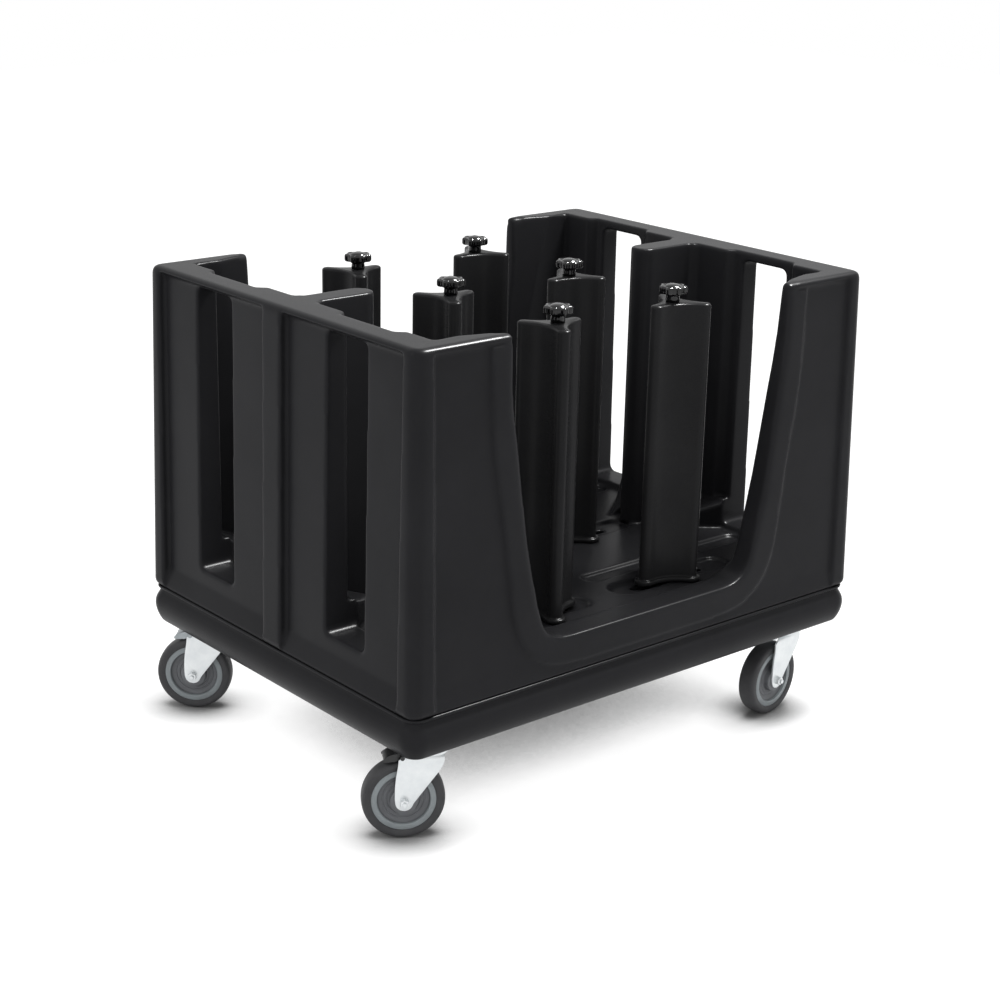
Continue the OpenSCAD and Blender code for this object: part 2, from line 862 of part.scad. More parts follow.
module kingpins() {
    color(zinc_tint)
        at_casters() {
            translate([0, 0, base_low])
                cylinder(h = pin_head_h, r = pin_head_r, $fn = 48);
            translate([0, 0, yoke_low - seat_gap - pin_head_h])
                cylinder(h = pin_head_h, r = pin_head_r, $fn = 48);
            translate([0, 0, yoke_low - seat_gap - pin_head_h / 2])
                cylinder(h = base_low + pin_head_h - yoke_low + seat_gap, r = pin_r, $fn = 48);
        }
}

module race_rings() {
    color(zinc_tint)
        at_casters()
            translate([0, 0, dome_low - seat_gap - ring_h])
                difference() {
                    cylinder(h = ring_h, r = ring_out, $fn = 64);
                    translate([0, 0, -cut_over])
                        cylinder(h = ring_h + 2 * cut_over, r = ring_in, $fn = 64);
                }
}

module caster_plate(sx, sy) {
    color(zinc_tint)
    translate([sx * caster_x, sy * caster_y, 0])
        difference() {
            union() {
                translate([0, 0, plate_low])
                    linear_extrude(height = plate_t)
                        polygon(rounded_points(plate_l, plate_w, plate_corner));
                translate([0, 0, dome_low])
                    cylinder(h = dome_h + plate_t / 2, r = dome_r, $fn = 64);
            }
            at_holes()
                translate([0, 0, plate_low - cut_over])
                    cylinder(h = plate_t + 2 * cut_over, r = hole_r, $fn = 32);
            translate([0, 0, dome_low - cut_over])
                cylinder(h = dome_h + plate_t + 2 * cut_over, r = pin_r + run_gap, $fn = 48);
        }
}

module caster_plate_lf() { caster_plate(-1, -1); }
module caster_plate_rf() { caster_plate(1, -1); }
module caster_plate_lb() { caster_plate(-1, 1); }
module caster_plate_rb() { caster_plate(1, 1); }

// swivelling pieces are drawn with the wheel trailing towards +X, then turned to their heading
module headed(sx, sy, heading) {
    translate([sx * caster_x, sy * caster_y, 0])
        rotate([0, 0, heading]) children();
}

module ear_plate() {
    ear_drop = yoke_low - yoke_t / 2;
    rotate([90, 0, 0])
        linear_extrude(height = ear_t) {
            polygon([
                [-ear_front, crown_low],
                [-ear_front, ear_drop],
                [trail - ear_tip_r * ear_diagonal_share, wheel_r - ear_tip_r * ear_diagonal_share],
                [trail + ear_tip_r * ear_tip_share, wheel_r + ear_tip_rise],
                [ear_mid, wheel_d * ear_mid_share],
                [ear_back, wheel_d * ear_back_share],
                [ear_back, crown_low]
            ]);
            translate([trail, wheel_r]) circle(r = ear_tip_r, $fn = 48);
        }
}

module fork(braked) {
    color(zinc_tint)
    difference() {
        union() {
            translate([0, 0, crown_low])
                cylinder(h = crown_t, r = crown_r, $fn = 64);
            span([-ear_front, -ear_out, yoke_low], [yoke_back, ear_out, crown_low]);
            translate([0, -ear_gap, 0]) ear_plate();
            translate([0, ear_out, 0]) ear_plate();
        }
        translate([0, 0, yoke_low - cut_over])
            cylinder(h = crown_t + yoke_t + 2 * cut_over, r = pin_r + run_gap, $fn = 48);
        translate([trail, ear_out + cut_over, wheel_r])
            rotate([90, 0, 0])
                cylinder(h = 2 * (ear_out + cut_over), r = axle_r + run_gap, $fn = 48);
        if (braked)
            translate([pivot_x, ear_out + cut_over, pivot_z])
                rotate([90, 0, 0])
                    cylinder(h = 2 * (ear_out + cut_over), r = pivot_r + run_gap, $fn = 32);
    }
}

module axle() {
    color(zinc_tint)
    translate([trail, 0, wheel_r])
        rotate([90, 0, 0]) {
            translate([0, 0, ear_out])
                cylinder(h = axle_head_h, r = axle_head_r, $fn = 6);
            translate([0, 0, -ear_out - nut_h - axle_end])
                cylinder(h = 2 * ear_out + nut_h + axle_end + axle_head_h / 2, r = axle_r, $fn = 48);
            difference() {
                translate([0, 0, -ear_out - nut_h])
                    cylinder(h = nut_h, r = axle_head_r, $fn = 6);
                translate([0, 0, -ear_out - nut_h - cut_over])
                    cylinder(h = nut_h + 2 * cut_over, r = axle_r + thread_gap, $fn = 48);
            }
        }
}

module wheel_core() {
    color(core_tint)
    translate([trail, 0, wheel_r])
        rotate([90, 0, 0])
            rotate_extrude($fn = 96)
                polygon([
                    [axle_r + run_gap, -hub_half],
                    [hub_r, -hub_half],
                    [hub_r, -web_t / 2],
                    [rim_in, -web_t / 2],
                    [rim_in, -rim_w / 2],
                    [core_r, -rim_w / 2],
                    [core_r, rim_w / 2],
                    [rim_in, rim_w / 2],
                    [rim_in, web_t / 2],
                    [hub_r, web_t / 2],
                    [hub_r, hub_half],
                    [axle_r + run_gap, hub_half]
                ]);
}

module tyre() {
    color(tyre_tint)
    translate([trail, 0, wheel_r])
        rotate([90, 0, 0])
            rotate_extrude($fn = 128)
                polygon([
                    [core_r + thread_gap, -rim_w / 2],
                    [core_r + tyre_round, -tread_w / 2],
                    [wheel_r - tyre_round, -tread_w / 2],
                    [wheel_r - crown_rise, -tread_w / 2 + tyre_round / 2],
                    [wheel_r, -tread_w / 2 * tread_flat_share],
                    [wheel_r, tread_w / 2 * tread_flat_share],
                    [wheel_r - crown_rise, tread_w / 2 - tyre_round / 2],
                    [wheel_r - tyre_round, tread_w / 2],
                    [core_r + tyre_round, tread_w / 2],
                    [core_r + thread_gap, rim_w / 2]
                ]);
}

// brake, drawn applied: a pedal on a cross pin behind the crown, its shoe against the tread
// a point off the tread, seen from the pivot, at an angle back from the top of the wheel
function shoe_point(deg, gap) = [
    trail + (wheel_r + gap) * sin(deg) - pivot_x,
    wheel_r + (wheel_r + gap) * cos(deg) - pivot_z
];

module brake() {
    color(knob_tint)
    translate([pivot_x, 0, pivot_z])
        rotate([90, 0, 0]) {
            translate([0, 0, -brake_half])
                linear_extrude(height = 2 * brake_half)
                    polygon([
                        for (i = [0 : 3]) boss_r * [back_x_shares[i], back_z_shares[i]],
                        [pedal_len, pedal_tip_h / 2],
                        [pedal_len, -pedal_tip_h / 2],
                        shoe_point(shoe_back_deg, shoe_gap) + [boss_r, shoe_lift],
                        shoe_point(shoe_back_deg, shoe_gap),
                        shoe_point(shoe_front_deg, shoe_gap),
                        for (i = [0 : 2]) boss_r * [boss_x_shares[i], boss_z_shares[i]]
                    ]);
            translate([0, 0, -ear_out - seat_gap])
                cylinder(h = 2 * (ear_out + seat_gap), r = pivot_r, $fn = 32);
        }
}

module fork_lf() { headed(-1, -1, head_lf_deg) fork(true); }
module fork_rf() { headed(1, -1, head_rf_deg) fork(false); }
module fork_lb() { headed(-1, 1, head_lb_deg) fork(true); }
module fork_rb() { headed(1, 1, head_rb_deg) fork(false); }
module axle_lf() { headed(-1, -1, head_lf_deg) axle(); }
module axle_rf() { headed(1, -1, head_rf_deg) axle(); }
module axle_lb() { headed(-1, 1, head_lb_deg) axle(); }
module axle_rb() { headed(1, 1, head_rb_deg) axle(); }
module wheel_core_lf() { headed(-1, -1, head_lf_deg) wheel_core(); }
module wheel_core_rf() { headed(1, -1, head_rf_deg) wheel_core(); }
module wheel_core_lb() { headed(-1, 1, head_lb_deg) wheel_core(); }
module wheel_core_rb() { headed(1, 1, head_rb_deg) wheel_core(); }
module tyre_lf() { headed(-1, -1, head_lf_deg) tyre(); }
module tyre_rf() { headed(1, -1, head_rf_deg) tyre(); }
module tyre_lb() { headed(-1, 1, head_lb_deg) tyre(); }
module tyre_rb() { headed(1, 1, head_rb_deg) tyre(); }
module brake_lf() { headed(-1, -1, head_lf_deg) brake(); }
module brake_lb() { headed(-1, 1, head_lb_deg) brake(); }

base_moulding();
floor_deck();
floor_wedges();
end_wall_left();
end_wall_right();
fin_left();
fin_right();
panel_front();
panel_back();
tower_lf();
tower_lm();
tower_lb();
tower_rf();
tower_rm();
tower_rb();
knob_lf();
knob_lm();
knob_lb();
knob_rf();
knob_rm();
knob_rb();
rod_lf();
rod_lm();
rod_lb();
rod_rf();
rod_rm();
rod_rb();
clamp_lf();
clamp_lm();
clamp_lb();
clamp_rf();
clamp_rm();
clamp_rb();
caster_inserts();
caster_bolts();
kingpins();
race_rings();
caster_plate_lf();
caster_plate_rf();
caster_plate_lb();
caster_plate_rb();
fork_lf();
fork_rf();
fork_lb();
fork_rb();
axle_lf();
axle_rf();
axle_lb();
axle_rb();
wheel_core_lf();
wheel_core_rf();
wheel_core_lb();
wheel_core_rb();
tyre_lf();
tyre_rf();
tyre_lb();
tyre_rb();
brake_lf();
brake_lb();
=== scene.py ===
import bpy
import bmesh
import math
import numpy as np
from mathutils import Matrix, Vector


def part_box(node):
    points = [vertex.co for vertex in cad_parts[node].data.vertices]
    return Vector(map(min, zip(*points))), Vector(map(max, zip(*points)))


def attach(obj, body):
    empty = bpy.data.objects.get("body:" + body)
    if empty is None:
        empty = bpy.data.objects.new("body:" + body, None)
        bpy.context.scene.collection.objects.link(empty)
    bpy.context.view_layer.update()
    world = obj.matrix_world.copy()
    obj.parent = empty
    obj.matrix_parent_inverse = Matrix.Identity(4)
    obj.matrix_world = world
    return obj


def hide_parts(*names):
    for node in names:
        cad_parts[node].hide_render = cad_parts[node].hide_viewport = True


# Dish cart in moulded black polyethylene, with six sliding towers, star knobs and four casters.
# Lengths in the shape code are millimetres; every mesh is stored in metres in the frame's own place.
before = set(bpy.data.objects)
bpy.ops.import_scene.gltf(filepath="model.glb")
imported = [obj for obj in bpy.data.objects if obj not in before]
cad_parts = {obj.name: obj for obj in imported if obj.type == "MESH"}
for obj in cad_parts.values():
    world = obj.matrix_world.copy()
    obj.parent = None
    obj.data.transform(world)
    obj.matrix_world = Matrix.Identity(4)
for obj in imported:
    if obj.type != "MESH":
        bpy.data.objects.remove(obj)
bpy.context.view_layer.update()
MM = 0.001
TOWERS = ("lf", "lm", "lb", "rf", "rm", "rb")
CASTERS = ("lf", "rf", "lb", "rb")
# the casters of the left end have brakes
BRAKED = ("lf", "lb")

# camera, fitted to the straight edges of the cart and to where its wheels touch the ground: its place
# in metres, the degrees that it is turned, dipped and rolled by, and its lens, sensor and reach
CAMERA_PLACE = (-2.07575, -2.42463, 1.43932)
CAMERA_ANGLES = (-40.43, 18.44, 1.25)
CAMERA_LENS, CAMERA_SENSOR, CAMERA_REACH = 72.05, 36, 60


def placed(name, data):
    obj = bpy.data.objects.new(name, data)
    bpy.context.scene.collection.objects.link(obj)
    return obj


def look_through():
    turn, dip, roll = (math.radians(a) for a in CAMERA_ANGLES)
    ahead = Vector((-math.sin(turn) * math.cos(dip), math.cos(turn) * math.cos(dip), -math.sin(dip)))
    level = ahead.cross(Vector((0, 0, 1))).normalized()
    upright = level.cross(ahead)
    right = level * math.cos(roll) + upright * math.sin(roll)
    up = upright * math.cos(roll) - level * math.sin(roll)
    lens = bpy.data.cameras.new("view")
    lens.lens = CAMERA_LENS
    lens.sensor_width = CAMERA_SENSOR
    lens.clip_end = CAMERA_REACH
    cam = placed("view", lens)
    turned = Matrix((right, up, -ahead)).transposed().to_4x4()
    cam.matrix_world = Matrix.Translation(CAMERA_PLACE) @ turned
    bpy.context.scene.camera = cam


# colours are written as sRGB hex and turned to linear here
def linear(code):
    parts = [int(code[i:i + 2], 16) / 255 for i in (0, 2, 4)]
    return tuple(c / 12.92 if c <= 0.04045 else ((c + 0.055) / 1.055) ** 2.4 for c in parts) + (1.0,)


# adds a node. A key is the name or number of a socket, or in the settings the node's own property
def add(tree, kind, settings=None, links=None):
    node = tree.nodes.new(kind)
    for key, value in (settings or {}).items():
        if isinstance(key, int) or key in node.inputs:
            node.inputs[key].default_value = value
        else:
            setattr(node, key, value)
    for key, source in (links or {}).items():
        tree.links.new(source, node.inputs[key])
    return node


# how much of each noise counts, how sharp an edge has to be, and how deep a crease has to be to take painted
# shade
PATCH_SPAN = {"From Min": 0.3, "From Max": 0.7}
GRAIN_SPAN = {"From Min": 0.25, "From Max": 0.75}
EDGE_SPAN = {"From Min": 0.52, "From Max": 0.62}
CREASE_SHADE_SPAN = {"From Min": 0.45, "From Max": 0.92}
WAVE_LENGTH = 70.0
# the two colour sockets of a Mix node
MIX_A, MIX_B = 6, 7


# a surface whose colour drifts between two shades over its patches, and whose gloss and relief come
# from its grain. It may also swell in long waves, rub to the shade wear[0] on its edges by the share
# wear[1], and take painted shade in its creases: there it darkens to the first shade of the crease pair, in
# creases narrower than the pair's second value
def surface(name, shades, rough, grain_mm, relief_mm, patch_mm, metal=0.0, ior=1.5, spec=0.5,
            wave_mm=0.0, wear=None, crease_shade=None):
    mat = bpy.data.materials.new(name)
    mat.use_nodes = True
    tree = mat.node_tree
    tree.nodes.clear()
    place = add(tree, "ShaderNodeTexCoord").outputs["Object"]
    patches = add(tree, "ShaderNodeTexNoise",
                  {"Scale": 1 / (patch_mm * MM), "Detail": 4.0, "Roughness": 0.6}, {"Vector": place})
    grain = add(tree, "ShaderNodeTexNoise",
                {"Scale": 1 / (grain_mm * MM), "Detail": 3.0, "Roughness": 0.65}, {"Vector": place})
    drift = add(tree, "ShaderNodeMapRange", PATCH_SPAN, {"Value": patches.outputs[0]})
    tint = add(tree, "ShaderNodeMix",
               {"data_type": "RGBA", MIX_A: linear(shades[0]), MIX_B: linear(shades[1])},
               {0: drift.outputs[0]})
    gloss = add(tree, "ShaderNodeMapRange", {**GRAIN_SPAN, "To Min": rough[0], "To Max": rough[1]},
                {"Value": grain.outputs[0]})
    if wear:
        edge = add(tree, "ShaderNodeNewGeometry")
        sharp = add(tree, "ShaderNodeMapRange", {**EDGE_SPAN, "To Max": wear[1]},
                    {"Value": edge.outputs["Pointiness"]})
        broken = add(tree, "ShaderNodeMath", {"operation": "MULTIPLY"},
                     {0: sharp.outputs[0], 1: patches.outputs[0]})
        tint = add(tree, "ShaderNodeMix", {"data_type": "RGBA", MIX_B: linear(wear[0])},
                   {0: broken.outputs[0], MIX_A: tint.outputs[2]})
    # painted shade: ambient occlusion darkens the colour in creases, where shade falls
    if crease_shade:
        crease_occlusion = add(tree, "ShaderNodeAmbientOcclusion", {"Distance": crease_shade[1] * MM, "samples": 6})
        unshaded_share = add(tree, "ShaderNodeMapRange", CREASE_SHADE_SPAN, {"Value": crease_occlusion.outputs["AO"]})
        tint = add(tree, "ShaderNodeMix", {"data_type": "RGBA", MIX_A: linear(crease_shade[0])},
                   {0: unshaded_share.outputs[0], MIX_B: tint.outputs[2]})
    relief = add(tree, "ShaderNodeBump", {"Strength": 1.0, "Distance": relief_mm * MM},
                 {"Height": grain.outputs[0]})
    if wave_mm:
        swell = add(tree, "ShaderNodeTexNoise", {"Scale": 1 / (WAVE_LENGTH * MM), "Detail": 1.0},
                    {"Vector": place})
        relief = add(tree, "ShaderNodeBump", {"Strength": 1.0, "Distance": wave_mm * MM},
                     {"Height": swell.outputs[0], "Normal": relief.outputs[0]})
    shine = {"Metallic": metal} if metal else {"IOR": ior, "Specular IOR Level": spec}
    shader = add(tree, "ShaderNodeBsdfPrincipled", shine,
                 {"Base Color": tint.outputs[2], "Roughness": gloss.outputs[0],
                  "Normal": relief.outputs[0]})
    add(tree, "ShaderNodeOutputMaterial", {}, {"Surface": shader.outputs[0]})
    return mat


# Only the moulded shell and the towers have a grain that shows at its real size. The others are really
# finer, and are drawn 0.8 to 1.4 mm, because nothing finer shows from where the whole cart is in view.

# rotationally moulded polyethylene: black and semi-matt, with an orange peel of about 1.5 mm. Its IOR is
# brought down from the usual 1.5 to the little that the real shell reflects. Its creases get painted shade
body_plastic = surface("moulded_polyethylene", ("232325", "28282a"), (0.26, 0.38), 1.6, 0.035, 160,
                       ior=1.14, wave_mm=0.2, wear=("3c3d3f", 0.5), crease_shade=("070708", 14.0))
# moulded tower sections: the same plastic off a smoother mould, with painted shade in its creases
tower_plastic = surface("moulded_tower_plastic", ("222223", "272728"), (0.22, 0.34), 1.2, 0.02, 120,
                        ior=1.14, wave_mm=0.12, crease_shade=("0a0a0b", 8.0))
# injection moulded knobs: glossy black nylon
knob_plastic = surface("glossy_nylon", ("080809", "0d0d0e"), (0.12, 0.2), 0.9, 0.01, 30, spec=0.42)
# thermoplastic rubber tread: dark grey, dry and soft in its shine
tyre_rubber = surface("tread_rubber", ("38383a", "434345"), (0.5, 0.66), 0.8, 0.03, 25, spec=0.35)
# wheel centre, moulded polypropylene: mid grey web inside a lighter rim
web_grey = surface("polypropylene_web", ("5f6164", "6a6c70"), (0.38, 0.5), 1.0, 0.02, 30, spec=0.45)
rim_grey = surface("polypropylene_rim", ("858b8e", "90979a"), (0.36, 0.48), 1.0, 0.02, 30, spec=0.45)
# pressed steel with bright zinc plating: pale, with fine drawing marks
bright_zinc = surface("bright_zinc_plate", ("e6e9ea", "d8dcde"), (0.3, 0.42), 1.4, 0.01, 22, metal=0.75)
# the same plating dulled by handling, on bolts, rods and clamp plates
dull_zinc = surface("dull_zinc_plate", ("a9aeb1", "8f9598"), (0.36, 0.5), 1.2, 0.012, 16, metal=0.9)
# pedal steel under a black coat: dark, with a low even shine
pedal_black_coat = surface("coated_pedal_steel", ("1a1a1b", "242425"), (0.34, 0.46), 0.9, 0.02, 25)

# points closer than this are one, in metres: in the shapes made here and in the solids
SAME_POINT, SAME_SOLID_POINT, WELD = 1e-6, 2e-6, 1e-5


# one mesh in the frame's place, riding on a body
def mesh_piece(name, shape, mats, body, smooth):
    verts, faces = shape
    me = bpy.data.meshes.new(name)
    me.from_pydata([tuple(c * MM for c in v) for v in verts], [], faces)
    me.validate()
    bm = bmesh.new()
    bm.from_mesh(me)
    bmesh.ops.remove_doubles(bm, verts=bm.verts, dist=SAME_POINT)
    bmesh.ops.recalc_face_normals(bm, faces=bm.faces)
    bm.to_mesh(me)
    bm.free()
    for mat in mats:
        me.materials.append(mat)
    obj = placed(name, me)
    shade(obj, smooth)
    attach(obj, body)
    return obj


# smooth shading that keeps edges sharper than the angle crisp
def shade(obj, degrees):
    me = obj.data
    me.polygons.foreach_set("use_smooth", [True] * len(me.polygons))
    bm = bmesh.new()
    bm.from_mesh(me)
    limit = math.radians(degrees)
    for e in bm.edges:
        if len(e.link_faces) == 2:
            e.smooth = e.calc_face_angle(0) < limit
    bm.to_mesh(me)
    bm.free()


# rings of points joined into one skin, open or closed round, capped or open at its ends
def skin(rings, closed=True, caps=True):
    n = len(rings[0])
    verts = [p for ring in rings for p in ring]
    faces = []
    for k in range(len(rings) - 1):
        for i in range(n if closed else n - 1):
            j = (i + 1) % n
            faces.append((k * n + i, k * n + j, (k + 1) * n + j, (k + 1) * n + i))
    if caps:
        faces.append(tuple(range(n))[::-1])
        faces.append(tuple(range((len(rings) - 1) * n, len(rings) * n)))
    return verts, faces


def join(shapes):
    verts, faces = [], []
    for v, f in shapes:
        base = len(verts)
        verts += list(v)
        faces += [tuple(i + base for i in one) for one in f]
    return verts, faces


def circle(r, z, steps):
    return [(r * math.cos(2 * math.pi * i / steps), r * math.sin(2 * math.pi * i / steps), z)
            for i in range(steps)]


def shifted(shape, x, y):
    verts, faces = shape
    return [(a + x, b + y, c) for a, b, c in verts], faces


def moved(shape, matrix):
    verts, faces = shape
    return [tuple(matrix @ Vector(v)) for v in verts], faces


def apply_shape(obj):
    graph = bpy.context.evaluated_depsgraph_get()
    shaped = bpy.data.meshes.new_from_object(obj.evaluated_get(graph))
    obj.modifiers.clear()
    obj.data = shaped


# the places or the normals of a mesh's points, one row each
def rows_of(me, what):
    rows = np.empty(len(me.vertices) * 3)
    me.vertices.foreach_get(what, rows)
    return rows.reshape(-1, 3)


# smooths a mesh by weights, given as (which points, weight)
def smoothed(obj, weights, factor, rounds):
    group = obj.vertex_groups.new(name="smoothed")
    for which, weight in weights:
        group.add(np.nonzero(which)[0].tolist(), weight, "REPLACE")
    ease = obj.modifiers.new("smoothed", "SMOOTH")
    ease.factor = factor
    ease.iterations = rounds
    ease.vertex_group = group.name
    apply_shape(obj)
    obj.vertex_groups.clear()


# body shell: the base, floor, walls and panels of one moulding
BODY_NODES = ("base_moulding", "floor_deck", "floor_wedges", "end_wall_left", "end_wall_right",
              "fin_left", "fin_right", "panel_front", "panel_back")
# the nodes swell by this, so that they overlap, and are then fused in voxels
SWELL, VOXEL = 0.3, 2.2
FLANGE_ROUNDS, EASE_ROUNDS = ((60, 20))
# half width of the front and back openings against height
OPENING_Z = (288, 297, 305, 328, 365, 410, 455, 500, 540, 605, 650, 690, 772)
OPENING_X = (162, 204, 214, 225, 234, 244, 253, 260, 265, 274, 281, 284, 288)
PANEL_INNER_Y = 308.0
# the flanges beside the openings end in a full round over this width and from this height up, and up to
# the foot's height they are smoothed by a lower weight
FLANGE_WIDTH, FLANGE_LOW, FLANGE_FOOT, FOOT_WEIGHT = 19, 296, 345, 0.5
# below this the bumper and the groove above it keep crisper edges
BUMPER_TOP = 243.0
# and so do the slots that the rods run in: their rows, half width, top and reach from the middle
SLOT_ROWS, SLOT_HALF, SLOT_TOP, SLOT_X = (-240.0, 0.0, 240.0), 9.0, 284.0, (60.0, 240.0)
CRISP_WEIGHT = 0.2
# the remesh narrows the slots, so their walls go back by this. A wall's normals lean up less than this
SLOT_EASE, WALL_NORMAL_Z = 0.9, 0.7


def swollen_node(name):
    one = bmesh.new()
    one.from_mesh(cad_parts[name].data)
    bmesh.ops.remove_doubles(one, verts=one.verts, dist=SAME_SOLID_POINT)
    bmesh.ops.recalc_face_normals(one, faces=one.faces)
    one.normal_update()
    for v in one.verts:
        v.co = v.co + v.normal * SWELL * MM
    part = bpy.data.meshes.new(name + "_part")
    one.to_mesh(part)
    one.free()
    return part


def round_flanges(obj):
    x, y, z = (np.abs(rows_of(obj.data, "co")) / MM).T
    half = np.interp(z, OPENING_Z, OPENING_X)
    near = (y > PANEL_INNER_Y) & (z > FLANGE_LOW) & (x < half + FLANGE_WIDTH)
    low = near & (z < FLANGE_FOOT)
    smoothed(obj, ((near & ~low, 1.0), (low, FOOT_WEIGHT)), factor=0.6, rounds=FLANGE_ROUNDS)


def widen_slots(me, in_slot):
    co = rows_of(me, "co")
    normals = rows_of(me, "normal")
    walls = in_slot & (np.abs(normals[:, 2]) < WALL_NORMAL_Z)
    co[walls] -= normals[walls] * SLOT_EASE * MM
    me.vertices.foreach_set("co", co.ravel())
    me.update()


# the body's nodes fused and given the soft edges of the mould
def moulded_body():
    whole = bmesh.new()
    for name in BODY_NODES:
        part = swollen_node(name)
        whole.from_mesh(part)
        bpy.data.meshes.remove(part)
    me = bpy.data.meshes.new("moulded_body")
    whole.to_mesh(me)
    whole.free()
    obj = placed("moulded_body", me)
    fuse = obj.modifiers.new("fuse", "REMESH")
    fuse.mode = "VOXEL"
    fuse.voxel_size = VOXEL * MM
    apply_shape(obj)
    round_flanges(obj)
    x, y, z = rows_of(obj.data, "co").T / MM
    off_row = np.min([np.abs(y - row) for row in SLOT_ROWS], axis=0)
    along_slot = (np.abs(x) > SLOT_X[0]) & (np.abs(x) < SLOT_X[1])
    in_slot = (off_row < SLOT_HALF) & along_slot & (z < SLOT_TOP)
    crisp = in_slot | (z <= BUMPER_TOP)
    smoothed(obj, ((~crisp, 1.0), (crisp, CRISP_WEIGHT)), factor=0.5, rounds=EASE_ROUNDS)
    fused = obj.data
    widen_slots(fused, in_slot)
    fused.polygons.foreach_set("use_smooth", [True] * len(fused.polygons))
    fused.materials.clear()
    fused.materials.append(body_plastic)
    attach(obj, "cart")
    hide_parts(*BODY_NODES)


# thin bead that runs round the cart in the groove between the walls and the bumper: its radius, how far
# it lies inside the bumper, its height, its steps round each corner and its sides
BEAD_R, BEAD_INSET, BEAD_Z = 2.5, 7.4, 224.9
BEAD_STEPS, BEAD_SIDES = 12, 10
BUMPER_CORNER = 31.0


def groove_bead():
    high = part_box("base_moulding")[1]
    core_x, core_y = high.x / MM - BUMPER_CORNER, high.y / MM - BUMPER_CORNER
    reach = BUMPER_CORNER - BEAD_INSET
    rings = []
    for sx, sy, start in ((1, 1, 0), (-1, 1, 90), (-1, -1, 180), (1, -1, 270)):
        for k in range(BEAD_STEPS + 1):
            a = math.radians(start + 90 * k / BEAD_STEPS)
            ring = []
            for out, rise, _ in circle(BEAD_R, 0, BEAD_SIDES):
                r = reach + out
                ring.append((sx * core_x + r * math.cos(a), sy * core_y + r * math.sin(a), BEAD_Z + rise))
            rings.append(ring)
    rings.append(rings[0])
    obj = mesh_piece("groove_bead", skin(rings, caps=False), [body_plastic], "cart", smooth=80)


# tower section: three rounded arms with hollow sides between them. The arms' reach, the radius of their
# tips and the distance to the hollow of a side
ARM, TIP, WAIST = 46.0, 10.5, 22.5
TIP_STEPS, SIDE_STEPS = 12, 16
# as they stand: shifted from the rod towards the end wall and turned a little
TOWER_SHIFT, TOWER_TURN = 7.0, math.radians(7)
# flanged foot: how far it stands outside the section, and the height
FOOT = ((4.6, 0), (5.6, 0.5), (6, 1.6), (6, 5.0), (5.7, 6.4), (4.9, 7.4), (3.9, 7.9), (2.6, 8.1), (1.4, 8.4),
        (0.6, 9.2), (0.15, 10.4), (0, 12.0))
# the top's rounded edge starts this far down and has this radius, and inside it the top is nearly flat:
# how far inside the section, and how far down
SHOULDER_DROP, SHOULDER_R = 5, 4.2
TOWER_TOP = ((5.5, 0.45), (7.5, 0.1))


def star(grow, z, turn):
    side_r = (ARM * ARM + WAIST * WAIST - ARM * WAIST - TIP * TIP) / (2 * TIP - 2 * WAIST + ARM)
    side_c = WAIST + side_r
    sixth = math.radians(60)
    tip_half = math.atan2(side_c * math.sin(sixth), side_c * math.cos(sixth) - ARM)
    side_half = math.asin(ARM * math.sin(sixth) / (side_r + TIP))
    ring = []
    for k in range(3):
        m = math.radians(120 * k)
        for s in range(TIP_STEPS + 1):
            a = m - tip_half + 2 * tip_half * s / TIP_STEPS
            ring.append((ARM * math.cos(m) + (TIP + grow) * math.cos(a),
                         ARM * math.sin(m) + (TIP + grow) * math.sin(a)))
        m = math.radians(120 * k + 60)
        for s in range(1, SIDE_STEPS):
            a = m + math.pi + side_half - 2 * side_half * s / SIDE_STEPS
            ring.append((side_c * math.cos(m) + (side_r - grow) * math.cos(a),
                         side_c * math.sin(m) + (side_r - grow) * math.sin(a)))
    c, s = math.cos(turn), math.sin(turn)
    return [(x * c - y * s, x * s + y * c, z) for x, y in ring]


def rod_place(t):
    low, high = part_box("rod_" + t)
    return (low.x + high.x) / 2 / MM, (low.y + high.y) / 2 / MM


def build_tower(t):
    low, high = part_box("tower_" + t)
    bottom, top = low.z / MM, high.z / MM
    x, y = rod_place(t)
    left = t[0] == "l"
    turn = TOWER_TURN + (0.0 if left else math.pi)
    rings = [star(out, bottom + rise, turn) for out, rise in FOOT]
    shoulder = top - SHOULDER_DROP
    rings += [star(0, bottom + (shoulder - bottom) * f, turn) for f in (0.25, 0.5, 0.75, 1.0)]
    for a in range(15, 91, 15):
        inside = SHOULDER_R * (1 - math.cos(math.radians(a)))
        rings.append(star(-inside, shoulder + SHOULDER_R * math.sin(math.radians(a)), turn))
    rings += [star(-inside, top - drop, turn) for inside, drop in TOWER_TOP]
    shape = shifted(skin(rings), x + (-TOWER_SHIFT if left else TOWER_SHIFT), y)
    obj = mesh_piece("tower_section_" + t, shape, [tower_plastic], "tower_" + t, smooth=50)
    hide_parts("tower_" + t)


# knob: seven-lobed grip with a domed cap on a round stem. A hollow between lobes is cut short at a level
# of the wave, and keeps a share of what lies below it
KNOB_STEPS, LOBES, GRIP_R, LOBE_R = 168, 7, 20.6, 2.3
HOLLOW_LEVEL, HOLLOW_SHARE = -0.55, 0.2
GRIP_RISE = 11.6
# stem, as (radius, height from its foot)
STEM = ((6.0, 0), (10.6, 0), (11.2, 0.7), (11.0, 6), (10.6, 8.6), (11.4, 10.4), (13.4, GRIP_RISE))
# grip, as (how far inside its outline, height above its underside)
GRIP = ((4.4, 0.3), (2.2, 1.0), (0.8, 2.2), (0, 4.0), (0, 9.6), (0.3, 11.2), (1.1, 12.6), (2.3, 13.2),
        (3.4, 13.0), (4.4, 12.3))
# cap, as (radius, height above the grip's underside)
CAP = ((13.6, 11.7), (13.0, 12.0), (12.4, 12.9), (11.2, 13.9), (8.6, 15.0), (5.0, 15.8), (1.4, 16.1))


